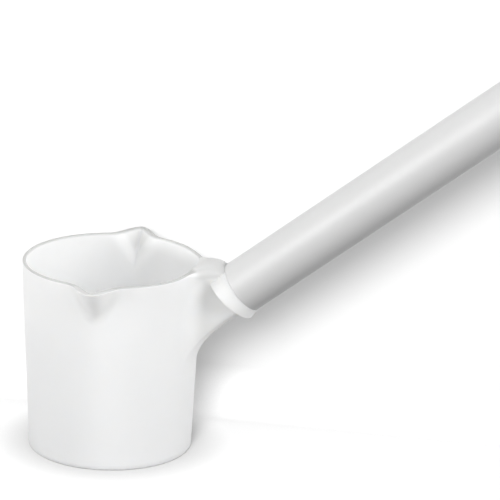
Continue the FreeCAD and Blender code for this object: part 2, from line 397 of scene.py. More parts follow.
BOWL_PLASTIC = Plastic("moulded_bowl_plastic", Texture.MOULDED, colour=(0.925, 0.928, 0.922),
                       cloud=(0.905, 0.908, 0.904), roughness=0.42, gloss_spread=0.06, scatter=0.9,
                       scatter_depth=7.0, painted_shade_level=0.5)
TUBE_PLASTIC = Plastic("extruded_tube_plastic", Texture.EXTRUDED, colour=(0.60, 0.60, 0.60),
                       cloud=(0.587, 0.587, 0.587), roughness=0.40, gloss_spread=0.05, scatter=0.1,
                       scatter_depth=1.0, lean=HANDLE_LEAN)
CAP_PLASTIC = Plastic("moulded_cap_plastic", Texture.MOULDED, colour=(0.68, 0.685, 0.68),
                      cloud=(0.665, 0.67, 0.665), roughness=0.40, gloss_spread=0.06, scatter=0.4,
                      scatter_depth=3.0)


@dataclass(frozen=True)
class Axis:
    """The handle's axis: where it starts, on the collar's face, and how it leans."""

    reach: float = 82.6
    height: float = 110.7
    lean: float = HANDLE_LEAN

    @property
    def along(self) -> np.ndarray:
        """The direction in which the handle leaves."""
        return np.array([math.cos(math.radians(self.lean)), 0.0, math.sin(math.radians(self.lean))])

    @property
    def up(self) -> np.ndarray:
        """The direction across the handle, in the upright plane."""
        return np.array([-math.sin(math.radians(self.lean)), 0.0, math.cos(math.radians(self.lean))])

    @property
    def start(self) -> np.ndarray:
        """The place where the axis meets the collar's face."""
        return np.array([self.reach, 0.0, self.height])

    def place(self, back: np.ndarray, side: np.ndarray, rise: np.ndarray) -> np.ndarray:
        """Gives places from their distances to the axis.

        Args:
            back: distances behind the collar's face.
            side: distances along Y.
            rise: distances across the axis, upwards.

        Returns:
            An (n, 3) array of places in millimetres.
        """
        back, side, rise = (np.asarray(v, dtype=float)[:, None] for v in (back, side, rise))
        return self.start - back * self.along + side * np.array([0.0, 1.0, 0.0]) + rise * self.up


@dataclass(frozen=True)
class Fold:
    """The V that a pouring lip folds into one skin of the bowl, in millimetres.

    Seen from above, the fold is a hyperbola: its tip is the lip's nose, and its arms are the lip's sides. Two
    shares of the blend say how deep inside the toe the fold stops, and where it is out of the blend's reach.
    """

    inset: float
    reach: float
    half_width: float
    depth: float
    tip_radius: float
    blend: float
    stops_inside: float = 1.2
    out_of_reach: float = 2.0
    steep_limits: tuple[float, float] = (0.5, 6.0)
    halvings: int = 60

    def steepness(self, rim: float) -> float:
        """Finds how steep the sides are, so that they meet the skin where they should.

        Args:
            rim: the skin's radius at the rim, without the fold.

        Returns:
            The steepness.
        """
        wall = math.sqrt(rim ** 2 - self.half_width ** 2)
        low, high = self.steep_limits
        for _ in range(self.halvings):
            steep = (low + high) / 2
            off = self.tip_radius * steep * steep
            if self.reach + off - math.sqrt(off * off + (steep * self.half_width) ** 2) > wall:
                low = steep
            else:
                high = steep
        return steep

    def edge(self, turn: np.ndarray, nose: np.ndarray, steep: float) -> np.ndarray:
        """Gives how far the fold is from the bowl's axis.

        Args:
            turn: angles from the lip's own plane, in radians.
            nose: how far the nose is from the axis, at each height.
            steep: how steeply the two sides run.

        Returns:
            The distances from the bowl's axis.
        """
        off = self.tip_radius * steep * steep
        far = nose + off
        c, s = np.cos(turn), np.sin(turn)
        power = far * far - off ** 2
        root = np.maximum(c * c * far * far - (c * c - steep * steep * s * s) * power, 0.0)
        return power / (c * far + np.sqrt(root))


@dataclass(frozen=True)
class Lips:
    """The two opposed pouring lips, in millimetres and degrees.

    The channel is narrower and shallower than the lip outside. The wall at the nose is in wall thicknesses.
    """

    azimuth: float = 87.7
    reach: float = 72.6
    half_width: float = 15.0
    depth: float = 21.0
    nose_radius: float = 4.5
    nose_blend: float = 4.5
    tip_rise: float = 0.2
    nose_wall: float = 1.2
    channel_narrower: float = 2.3
    channel_shallower: float = 2.0
    crease_radius: float = 0.5
    channel_blend: float = 5.0
    fine_span: float = 19.0
    widest_span: float = 30.0

    def outside(self) -> Fold:
        """Gives the fold in the bowl's outer skin."""
        return Fold(0.0, self.reach, self.half_width, self.depth, self.nose_radius, self.nose_blend)

    def channel(self, wall: float) -> Fold:
        """Gives the fold in the bowl's inner skin, behind a wall."""
        return Fold(wall, self.reach - self.nose_wall * wall, self.half_width - self.channel_narrower,
                    self.depth - self.channel_shallower, self.crease_radius, self.channel_blend)


@dataclass(frozen=True)
class Bowl:
    """The bowl with its lips, in millimetres and degrees.

    The root is the window in its wall where the neck starts. Rings are shares of the flat floor's radius.
    """

    lips: Lips = Lips()
    rim_radius: float = 56.3
    base_radius: float = 51.4
    height: float = 121.5
    wall: float = 2.2
    floor: float = 2.6
    foot_round: float = 0.9
    floor_round: float = 4.0
    edge_round: float = 1.0
    inner_round: float = 0.7
    rim_rise: float = 2.8
    rise_span: float = 36.0
    root_span: float = 24.0
    root_bottom: float = 53.5
    root_squareness: float = 3.0
    neck_columns: int = 48
    side_columns: int = 32
    lip_columns: int = 102
    lip_crowding: float = 1.9
    far_columns: int = 72
    fine_from: float = 0.76
    fine_rows: int = 26
    outer_rows: int = 30
    inner_rows: int = 24
    edge_steps: int = 5
    inner_edge_steps: int = 3
    foot_steps: int = 5
    floor_steps: int = 7
    underside_rings: tuple[float, ...] = (0.12, 0.3, 0.5, 0.7, 0.85, 0.94)
    floor_rings: tuple[float, ...] = (0.94, 0.82, 0.66, 0.48, 0.3, 0.13)

    @property
    def rim_rows(self) -> int:
        """How many rows lie over the rim, up to its inner edge."""
        return self.edge_steps + 2

    def wall_radius(self, z: np.ndarray) -> np.ndarray:
        """Gives the outer wall's radius at a height."""
        return self.base_radius + (self.rim_radius - self.base_radius) * z / self.height

    def turn_from(self, theta: np.ndarray, azimuth: float) -> np.ndarray:
        """Gives the angle from an azimuth, in radians between -pi and pi."""
        return (theta - math.radians(azimuth) + math.pi) % (2 * math.pi) - math.pi

    def folded(self, theta: np.ndarray, z: np.ndarray, fold: Fold) -> np.ndarray:
        """Gives the radius of one skin with the folds of both lips.

        Args:
            theta: azimuths in radians.
            z: heights in millimetres.
            fold: the fold of each lip.

        Returns:
            The radii in millimetres.
        """
        radius = self.wall_radius(z) - fold.inset
        steep = fold.steepness(self.rim_radius - fold.inset)
        toe = self.wall_radius(self.height - fold.depth) - fold.inset
        slope = (fold.reach - toe) / fold.depth
        nose = fold.reach + (z - self.height) * slope
        too_far_in = toe - fold.stops_inside * fold.blend
        for azimuth in (-self.lips.azimuth, self.lips.azimuth):
            turn = self.turn_from(theta, azimuth)
            near = np.abs(turn) < math.radians(self.lips.widest_span)
            edge = fold.edge(np.where(near, turn, 0.0), nose, steep)
            none = radius - fold.out_of_reach * fold.blend
            edge = np.where(near & (nose > too_far_in), edge, none)
            radius = smooth_max(radius, edge, fold.blend)
        return radius

    def outer(self, theta: np.ndarray, z: np.ndarray) -> np.ndarray:
        """Gives the radius of the outer skin at azimuths and heights."""
        return self.folded(theta, z, self.lips.outside())

    def inner(self, theta: np.ndarray, z: np.ndarray) -> np.ndarray:
        """Gives the radius of the inner skin at azimuths and heights."""
        return self.folded(theta, z, self.lips.channel(self.wall))

    def rim_height(self, theta: np.ndarray) -> np.ndarray:
        """Gives the rim's height: it rises to the thumb pad, and a little to the lips' tips.

        Args:
            theta: azimuths in radians.

        Returns:
            The heights in millimetres.
        """
        span = self.turn_from(theta, 0.0) / math.radians(self.rise_span)
        rise = self.rim_rise * np.where(np.abs(span) < 1, np.cos(span * math.pi / 2) ** 2, 0.0)
        out = self.outer(theta, np.full_like(theta, self.height)) - self.rim_radius
        tip = self.lips.tip_rise * ramp(out, 0.0, self.lips.reach - self.rim_radius)
        return self.height + rise + tip

    def columns(self) -> np.ndarray:
        """Gives the azimuths of the columns.

        Returns:
            The azimuths in radians, from one side of the neck's root round the bowl. They are fine in the
            lips, and one is at each side of the root.
        """
        root, lip, span = self.root_span, self.lips.azimuth, self.lips.fine_span
        spread = np.linspace(-1, 1, self.lip_columns + 1)[1:]
        in_lip = span * np.sinh(spread * self.lip_crowding) / math.sinh(self.lip_crowding)
        parts = [np.linspace(-root, root, self.neck_columns + 1),
                 np.linspace(root, lip - span, self.side_columns + 1)[1:],
                 lip + in_lip,
                 np.linspace(lip + span, 360 - lip - span, self.far_columns + 1)[1:],
                 360 - lip + in_lip,
                 np.linspace(360 - lip + span, 360 - root, self.side_columns + 1)[1:-1]]
        return np.radians(np.concatenate(parts))

    def skin(self) -> tuple[np.ndarray, np.ndarray, int, int]:
        """Makes the bowl's grid of points, from the middle of the underside over the rim to the inner floor.

        Returns:
            The azimuths, the (rows, columns, 3) grid, the row at the root's bottom and the row on the rim's
            inner edge.
        """
        theta = self.columns()
        top = self.rim_height(theta)
        rows = self.underside(theta)
        wall, below_root = self.outer_wall(theta, top)
        bottom_row = len(rows) + below_root
        rows += wall
        edge_row = len(rows) + self.rim_rows - 1
        rows += self.rim(theta, top) + self.inside(theta, top)
        grid = np.array([[r * np.cos(th), r * np.sin(th), z] for th, r, z in rows]).transpose(0, 2, 1)
        return theta, grid, bottom_row, edge_row

    def underside(self, theta: np.ndarray) -> list[Row]:
        """Makes the rows of the flat underside and the foot's round.

        Args:
            theta: the columns' azimuths.

        Returns:
            The rows.
        """
        flat = self.base_radius - self.foot_round
        rows = [(theta, np.full_like(theta, share * flat), np.zeros_like(theta))
                for share in self.underside_rings]
        for a in quarter(self.foot_steps):
            z = np.full_like(theta, self.foot_round * (1 - math.cos(a)))
            rows.append((theta, self.wall_radius(z) - self.foot_round * (1 - math.sin(a)), z))
        return rows

    def outer_wall(self, theta: np.ndarray, top: np.ndarray) -> tuple[list[Row], int]:
        """Makes the rows of the outer wall, drawn in round the neck's root.

        Args:
            theta: the columns' azimuths.
            top: the rim's heights.

        Returns:
            The rows, and how many of them lie below the root.
        """
        levels = np.concatenate([np.linspace(0, self.fine_from, self.outer_rows + 1)[1:],
                                 np.linspace(self.fine_from, 1, self.fine_rows + 1)[1:]])
        low = self.foot_round
        turn = self.turn_from(theta, 0.0)
        rows, below_root = [], 0
        for level in levels:
            z = low + (top - self.edge_round - low) * level
            below_root += int(z[0] <= self.root_bottom)
            around, z = self.drawn_in(turn, z)
            rows.append((around, self.outer(around, z), z))
        return rows, below_root

    def rim(self, theta: np.ndarray, top: np.ndarray) -> list[Row]:
        """Makes the rows over the rim: its outer round, its flat top and its inner round.

        Args:
            theta: the columns' azimuths.
            top: the rim's heights.

        Returns:
            The rows.
        """
        shoulder = top - self.edge_round
        out, inn = self.outer(theta, shoulder), self.inner(theta, top - self.inner_round)
        start, end = self.edge_round / self.wall, 1 - self.inner_round / self.wall
        rows = []
        for a in quarter(self.edge_steps)[1:]:
            share = start * (1 - math.cos(a))
            rows.append((theta, out + (inn - out) * share, shoulder + self.edge_round * math.sin(a)))
        for share in ((start + end) / 2, end):
            rows.append((theta, out + (inn - out) * share, top))
        for a in quarter(self.inner_edge_steps)[1:]:
            share = end + (1 - end) * math.sin(a)
            rows.append((theta, out + (inn - out) * share, top - self.inner_round * (1 - math.cos(a))))
        return rows

    def inside(self, theta: np.ndarray, top: np.ndarray) -> list[Row]:
        """Makes the rows of the inner wall, the round at its bottom and the inner floor.

        Args:
            theta: the columns' azimuths.
            top: the rim's heights.

        Returns:
            The rows.
        """
        levels = np.concatenate([np.linspace(1, self.fine_from, self.fine_rows + 1)[1:],
                                 np.linspace(self.fine_from, 0, self.inner_rows + 1)[1:]])
        low = self.floor + self.floor_round
        rows = []
        for level in levels:
            z = low + (top - self.inner_round - low) * level
            rows.append((theta, self.inner(theta, z), z))
        for a in quarter(self.floor_steps)[1:]:
            z = np.full_like(theta, low - self.floor_round * math.sin(a))
            rows.append((theta, self.wall_radius(z) - self.wall - self.floor_round * (1 - math.cos(a)), z))
        flat = rows[-1][1]
        return rows + [(theta, flat * share, np.full_like(theta, self.floor)) for share in self.floor_rings]

    def drawn_in(self, turn: np.ndarray, z: np.ndarray) -> tuple[np.ndarray, np.ndarray]:
        """Draws the wall's grid in round the neck's root, so that the root has round corners.

        Args:
            turn: the columns' azimuths from the neck, in radians.
            z: the row's heights.

        Returns:
            The new azimuths and heights.
        """
        middle = (self.root_bottom + self.height) / 2
        u = turn / math.radians(self.root_span)
        v = np.maximum(middle - z, 0.0) / (middle - self.root_bottom)
        far = np.maximum(np.abs(u), v)
        safe = np.maximum(far, TINY)
        power = self.root_squareness
        size = np.maximum(np.abs(u / safe) ** power + (v / safe) ** power, 1.0)
        shrink = size ** (-1 / power)
        share = 1 + (shrink - 1) * (1 - ramp(far, 1.0, 2.0)) * ramp(far, 0.0, 1.0)
        return turn * share, np.where(z < middle, middle - (middle - z) * share, z)


@dataclass(frozen=True)
class RingPlan:
    """Where the points of a ring round the neck lie.

    The ring runs along the rim's inner edge, down one side, along the root's bottom and up the other side.
    """

    across: np.ndarray
    down: np.ndarray
    over: np.ndarray
    on_top: np.ndarray

    @classmethod
    def make(cls, wide: int, high: int, rim_rows: int) -> "RingPlan":
        """Plans a ring.

        Args:
            wide: how many points lie on the rim's inner edge.
            high: how many rows lie between the rim's inner edge and the root's bottom.
            rim_rows: how many of those rows lie over the rim.

        Returns:
            The plan. Its shares run across from -1 to 1, down from 0 to 1 below the rim, and over the rim
            from 0 to 1.
        """
        across = np.concatenate([np.linspace(-1, 1, wide), np.ones(high), np.linspace(1, -1, wide)[1:],
                                 -np.ones(high - 1)])
        side_down = np.concatenate([np.zeros(rim_rows), np.linspace(0, 1, high - rim_rows + 1)[1:]])
        side_over = np.concatenate([np.linspace(0, 1, rim_rows + 1)[1:], np.ones(high - rim_rows)])
        down = np.concatenate([np.zeros(wide), side_down, np.ones(wide - 1), side_down[:-1][::-1]])
        over = np.concatenate([np.zeros(wide), side_over, np.ones(wide - 1), side_over[:-1][::-1]])
        on_top = np.concatenate([np.ones(wide, bool), np.zeros(len(across) - wide, bool)])
        return cls(across, down, over, on_top)

    @property
    def side(self) -> np.ndarray:
        """The side on which each point lies, -1 or 1."""
        return np.sign(self.across) + (self.across == 0)

    @property
    def on_rim(self) -> np.ndarray:
        """Which points lie on the rim beside the neck."""
        return ~self.on_top & (self.down == 0)

    def rounded(self, squareness: float) -> tuple[np.ndarray, np.ndarray]:
        """Rounds the ring's two lower corners.

        Args:
            squareness: how square the corners stay.

        Returns:
            The rounded shares across and down.
        """
        low = np.maximum(2 * self.down - 1, 0.0)
        size = np.abs(self.across) ** squareness + low ** squareness
        shrink = np.where(low > 0, size, 1.0) ** (-1 / squareness)
        return self.across * shrink, np.where(low > 0, (1 + low * shrink) / 2, self.down)


@dataclass(frozen=True)
class Neck:
    """The neck with its thumb pad, in millimetres.

    Each of its lines is a curve with four control points. A guide point has its distance from the bowl's
    axis, its half-width and its height above the rim. A pair named after where a change comes from holds the
    shares of the way down at which it starts and ends. The other pairs give a value at the top and one below.
    """

    half_width: float = 11.4
    web_half_width: float = 10.6
    web_from: tuple[float, float] = (0.01, 0.21)
    pad_half_width: float = 8.8
    under: float = 13.5
    root_inner: float = 77.0
    crest_rise: float = 1.0
    rings: int = 40
    squareness: float = 5.0
    below_face: float = 0.12
    behind_face: float = 0.3
    sunk: float = 2.9
    sunk_from: tuple[float, float] = (0.0, 0.12)
    near_share: tuple[float, float] = (0.85, 0.81)
    far_share: tuple[float, float] = (0.68, 0.45)
    share_from: tuple[float, float] = (0.45, 0.95)
    flank: tuple[float, float, float] = (70.0, 10.6, -7.6)
    flank_until: float = 0.22
    edges: tuple[tuple[float, float, float], ...] = ((54.4, 11.0, 1.5), (64.0, 9.0, 2.4))
    crowns: tuple[tuple[float, float, float], ...] = ((58.0, 0.0, 5.5), (70.5, 0.0, 7.6))
    closed_at: float = 3.0

    def width(self, down: np.ndarray) -> np.ndarray:
        """Gives the half-width at shares of the way down."""
        return self.half_width - (self.half_width - self.web_half_width) * ramp(down, *self.web_from)

    def end_ring(self, plan: RingPlan, axis: Axis, face: float) -> np.ndarray:
        """Gives the neck's last ring, just inside the collar.

        Args:
            plan: the ring's plan.
            axis: the handle's axis.
            face: the radius of the collar's face.

        Returns:
            The points.
        """
        across, down = plan.rounded(self.squareness)
        radius = face - self.below_face
        shoulder = math.sqrt(radius ** 2 - self.half_width ** 2)
        swing = np.sin(plan.over * math.pi / 2)
        on_side = plan.side * (self.pad_half_width + (self.half_width - self.pad_half_width) * swing)
        on_arc = np.where(plan.on_top, self.pad_half_width * plan.across, on_side)
        arc = plan.on_top | plan.on_rim
        side = np.where(arc, on_arc, self.width(down) * across)
        rise = np.where(arc, np.sqrt(radius ** 2 - on_arc ** 2), shoulder - (shoulder + self.under) * down)
        back = np.where(arc, self.behind_face, self.behind_face + self.sunk * ramp(down, *self.sunk_from))
        return axis.place(back, side, rise)

    def corners(self, plan: RingPlan, start: np.ndarray, bowl: Bowl) -> np.ndarray:
        """Gives the corners that the neck's lines round off, where straight ones would meet the bowl's wall.

        Args:
            plan: the ring's plan.
            start: the ring on the bowl.
            bowl: the bowl.

        Returns:
            The points, each in the plane that touches the wall at its start.
        """
        across, down = plan.rounded(self.squareness)
        crest = bowl.height + self.crest_rise
        z = crest + (self.root_inner - crest) * down
        y = self.width(down) * across
        radius = np.hypot(start[:, 0], start[:, 1])
        taper = (bowl.rim_radius - bowl.base_radius) / bowl.height
        drop = start[:, 1] / radius * (y - start[:, 1]) - taper * (z - start[:, 2])
        return np.stack([start[:, 0] - drop / (start[:, 0] / radius), y, z], axis=1)

    def guide(self, plan: RingPlan, ring: np.ndarray, crown: np.ndarray, edge: np.ndarray,
              side: np.ndarray) -> None:
        """Moves a control ring's points on the pad and beside it to their guide points.

        Args:
            plan: the ring's plan.
            ring: the control ring; it is changed.
            crown: the guide point on the pad's crest.
            edge: the guide point on the pad's edge.
            side: the guide point at the top of the neck's side.
        """
        top, rim = plan.on_top, plan.on_rim
        fall = plan.across[top] ** 2
        ring[top] = np.stack([crown[0] + (edge[0] - crown[0]) * fall, edge[1] * plan.across[top],
                              crown[2] + (edge[2] - crown[2]) * fall], axis=1)
        swing, lift = np.sin(plan.over[rim] * math.pi / 2), 1 - np.cos(plan.over[rim] * math.pi / 2)
        ring[rim] = np.stack([edge[0] + (side[0] - edge[0]) * swing,
                              plan.side[rim] * (edge[1] + (abs(side[1]) - edge[1]) * swing),
                              edge[2] + (side[2] - edge[2]) * lift], axis=1)

    def lines(self, plan: RingPlan, start: np.ndarray, end: np.ndarray,
              bowl: Bowl) -> tuple[np.ndarray, np.ndarray]:
        """Gives the two control rings between the neck's first and last ring.

        Args:
            plan: the ring's plan.
            start: the ring on the bowl.
            end: the ring in the collar.
            bowl: the bowl.

        Returns:
            The control ring near the bowl and the one near the collar.
        """
        _, down = plan.rounded(self.squareness)
        meet = self.corners(plan, start, bowl)
        depth = ramp(down, *self.share_from)
        near, far = (pair[0] + (pair[1] - pair[0]) * depth for pair in (self.near_share, self.far_share))
        one = start + near[:, None] * (meet - start)
        two = end + far[:, None] * (meet - end)
        flank, *guides = (np.array(point) + (0.0, 0.0, bowl.height)
                          for point in (self.flank, *self.crowns, *self.edges))
        flanks = np.outer(np.ones(len(start)), flank)
        flanks[:, 1] *= plan.side
        beside = ~plan.on_top & ~plan.on_rim
        hold = ((1 - ramp(down, 0.0, self.flank_until)) * beside)[:, None]
        two = two * (1 - hold) + flanks * hold
        self.guide(plan, one, guides[0], guides[2], one[np.argmax(beside)])
        self.guide(plan, two, guides[1], guides[3], flank)
        return one, two


@dataclass(frozen=True)
class Collar:
    """The wedge-shaped collar with its cored spigot, in millimetres and degrees.

    Under the pad the collar's band sinks into the neck: fully up to the first angle from the top, and not at
    all past the second.
    """

    face_radius: float = 17.5
    face_round: float = 0.2
    face_round_middle: float = 0.06
    radius: float = 19.0
    thickness: float = 6.2
    wedge: float = 9.0
    band_round: float = 0.5
    band_round_middle: tuple[float, float] = (0.15, 0.12)
    band_sink: float = 1.6
    sink_from: tuple[float, float] = (25.0, 52.0)
    spigot_radius: float = 14.45
    spigot_length: float = 38.0
    spigot_lead: float = 1.5
    spigot_taper: float = 0.8
    core_radius: float = 11.85
    core_depth: float = 19.0
    segments: int = 128

    def rings(self, psi: np.ndarray) -> list[tuple[np.ndarray, np.ndarray | float]]:
        """Gives the rings round the axis, from the collar's back over its face to the spigot's core.

        Args:
            psi: the points' angles from the top, in radians.

        Returns:
            Each ring's distances behind the face, and its radii.
        """
        back = self.thickness + self.radius * math.tan(math.radians(self.wedge)) * (1 + np.cos(psi))
        from_top = np.degrees(np.abs((psi + math.pi) % (2 * math.pi) - math.pi))
        wide = self.radius - self.band_sink * (1 - ramp(from_top, *self.sink_from))
        flat = np.zeros_like(psi)
        tip = flat - self.spigot_length
        down, aside = self.band_round_middle
        return [(back, wide - self.band_round), (back - down, wide - aside), (back - self.band_round, wide),
                (back / 2, (wide + self.face_radius) / 2), (flat + self.face_round, self.face_radius),
                (flat + self.face_round_middle, self.face_radius - self.face_round_middle),
                (flat, self.face_radius - self.face_round), (flat, self.spigot_radius),
                (tip + self.spigot_lead, self.spigot_radius), (tip, self.spigot_radius - self.spigot_taper),
                (tip, self.core_radius), (tip + self.core_depth, self.core_radius)]

    def build(self, axis: Axis) -> bpy.types.Object:
        """Builds the collar as a closed piece.

        Args:
            axis: the handle's axis.

        Returns:
            The piece, which the moulding takes up.
        """
        count = self.segments
        psi = np.linspace(0, 2 * math.pi, count, endpoint=False)
        rings = self.rings(psi)
        points = [axis.place(back, radius * np.sin(psi), radius * np.cos(psi)) for back, radius in rings]
        for back in (float(np.mean(rings[0][0])), self.core_depth - self.spigot_length):
            points.append(axis.place([back], [0.0], [0.0]))
        cloud = np.concatenate(points)
        last = (len(rings) - 1) * count
        faces = strips(len(rings), count, set())
        faces += fan(list(range(count))[::-1], len(cloud) - 2)
        faces += fan(list(range(last, last + count)), len(cloud) - 1)
        return closed_object("collar_body", cloud, faces)


@dataclass(frozen=True)
class PaintedShadeMarks:
    """Painted shade on the moulding, and where it lies: its colour is darkened where it is thick (band, neck
    and thumb pad), at its cut rim, in the lips' folded channels and towards its top. This stands in for shade
    and for less light coming through the plastic there.

    The shades are shares. A place is in millimetres, and the valley is in radians from the middle of a lip. A
    pair is where a mark starts and where it is full, but the band's pair is its two ends along the handle.
    """

    band: float = 0.15
    band_radius: float = 17.0
    band_back: tuple[float, float] = (-0.5, 12.5)
    band_rise: float = 14.6
    neck: float = 0.16
    neck_from: tuple[float, float] = (57.0, 64.0)
    neck_side: float = 30.0
    pad: float = 0.54
    pad_centre: float = 64.0
    pad_height: tuple[float, float] = (116.0, 120.0)
    pad_fade: tuple[float, float] = (22.0, 14.0)
    pad_from: float = 54.0
    rim_height: tuple[float, float] = (-1.1, -0.5)
    rim_from_pad: tuple[float, float] = (11.0, 19.0)
    rim_paler: float = 0.22
    lip_side: float = 45.0
    lip_from: tuple[float, float] = (57.0, 61.0)
    channel: float = 0.3
    channel_from: tuple[float, float] = (55.0, 61.0)
    channel_wall: float = 1.0
    valley: tuple[float, float] = (0.008, 0.028)
    upper: float = 0.1
    upper_from: tuple[float, float] = (85.0, 115.0)

    def on_band(self, place: np.ndarray, axis: Axis) -> np.ndarray:
        """Finds the points on the collar's band.

        Args:
            place: the (n, 3) array of places.
            axis: the handle's axis.

        Returns:
            Which points are on the band.
        """
        away = place - axis.start
        back, rise = -away @ axis.along, away @ axis.up
        across = np.hypot(place[:, 1], rise)
        return ((across > self.band_radius) & (back > self.band_back[0]) & (back < self.band_back[1])
                & (rise < self.band_rise))

    def share(self, place: np.ndarray, bowl: Bowl, axis: Axis) -> np.ndarray:
        """Gives how much painted shade each point has.

        Args:
            place: the (n, 3) array of places.
            bowl: the bowl.
            axis: the handle's axis.

        Returns:
            The shares, from 0 to 1.
        """
        x, y, z = place.T
        theta, reach, aside = np.arctan2(y, x), np.hypot(x, y), np.abs(y)
        by_lip = aside > self.lip_side
        on_lip = ramp(reach, *self.lip_from) * by_lip
        from_pad = np.hypot(x - self.pad_centre, y)
        neck = self.neck * ramp(reach, *self.neck_from) * (x > 0) * (aside < self.neck_side)
        pad = self.pad * ramp(z, *self.pad_height) * ramp(from_pad, *self.pad_fade) * (reach > self.pad_from)
        rim = ramp(z - bowl.rim_height(theta), *self.rim_height) * ramp(from_pad, *self.rim_from_pad)
        rim *= 1 - self.rim_paler * on_lip * (y < 0)
        slant = ramp(np.abs(np.abs(theta) - math.radians(bowl.lips.azimuth)), *self.valley)
        inside = (reach < bowl.outer(theta, z) - self.channel_wall) & by_lip
        channel = self.channel * ramp(reach, *self.channel_from) * slant * inside
        upper = self.upper * ramp(z, *self.upper_from) * (1 - on_lip)
        # Painted shade from every place; the strongest one counts at each point
        marks = np.maximum.reduce([neck, rim, pad, channel, upper])
        return np.where(self.on_band(place, axis), self.band, marks)


@dataclass(frozen=True)
class Moulding:
    """Joins the bowl's skin, its neck and its collar into one closed piece."""

    axis: Axis
    bowl: Bowl = Bowl()
    neck: Neck = Neck()
    collar: Collar = Collar()
    marks: PaintedShadeMarks = PaintedShadeMarks()

    def build(self) -> bpy.types.Object:
        """Builds the moulding.

        Returns:
            The finished piece, as a plain mesh.
        """
        body = self.body()
        collar = self.collar.build(self.axis)
        union = body.modifiers.new("collar", "BOOLEAN")
        union.operation = "UNION"
        union.solver = "EXACT"
        union.object = collar
        piece = plain_copy(body, "moulded_bowl")
        bpy.data.objects.remove(collar)
        finish_shading(piece.data)
        self.paint_shades(piece.data)
        return piece

    def paint_shades(self, mesh: bpy.types.Mesh) -> None:
        """Stores the painted shade at each point, which darkens the plastic's colour there.

        Args:
            mesh: the moulding's mesh.
        """
        flat = np.zeros(len(mesh.vertices) * 3)
        mesh.vertices.foreach_get("co", flat)
        share = self.marks.share(flat.reshape(-1, 3) / MM, self.bowl, self.axis)
        mesh.attributes.new(PAINTED_SHADE_MARK, "FLOAT", "POINT").data.foreach_set("value", share)

    def body(self) -> bpy.types.Object:
        """Builds the bowl with its neck, closed inside the collar.

        Returns:
            The piece, which the moulding takes up.
        """
        bowl = self.bowl
        theta, grid, bottom, edge = bowl.skin()
        rows, count = grid.shape[:2]
        turn = bowl.turn_from(theta, 0.0)
        order = sorted(range(count), key=lambda i: turn[i])
        root = [i for i in order if abs(turn[i]) <= math.radians(bowl.root_span) + TINY]
        faces = strips(rows, count, {(k, i) for k in range(bottom, edge) for i in root[:-1]})
        skin = np.concatenate([grid.reshape(-1, 3), [(0.0, 0.0, 0.0), (0.0, 0.0, bowl.floor)]])
        faces += fan(list(range(count))[::-1], len(skin) - 2)
        faces += fan(list(range((rows - 1) * count, rows * count)), len(skin) - 1)

        ring = [edge * count + i for i in root]
        ring += [k * count + root[-1] for k in range(edge - 1, bottom - 1, -1)]
        ring += [bottom * count + i for i in reversed(root[:-1])]
        ring += [k * count + root[0] for k in range(bottom + 1, edge)]
        plan = RingPlan.make(len(root), edge - bottom, bowl.rim_rows)
        start = skin[ring]
        end = self.neck.end_ring(plan, self.axis, self.collar.face_radius)
        one, two = self.neck.lines(plan, start, end, bowl)
        points, total = [skin], len(skin)
        for t in np.linspace(0, 1, self.neck.rings + 1)[1:]:
            points.append((1 - t) ** 3 * start + 3 * (1 - t) ** 2 * t * one
                          + 3 * (1 - t) * t * t * two + t ** 3 * end)
            current = list(range(total, total + len(ring)))
            for a, b, c, d in zip(ring, ring[1:] + ring[:1], current[1:] + current[:1], current):
                faces.append((a, b, c, d))
            ring, total = current, total + len(ring)
        points.append(self.axis.place([self.neck.closed_at], [0.0], [0.0]))
        faces += fan(ring, total)
        return closed_object("bowl_body", np.concatenate(points), faces)


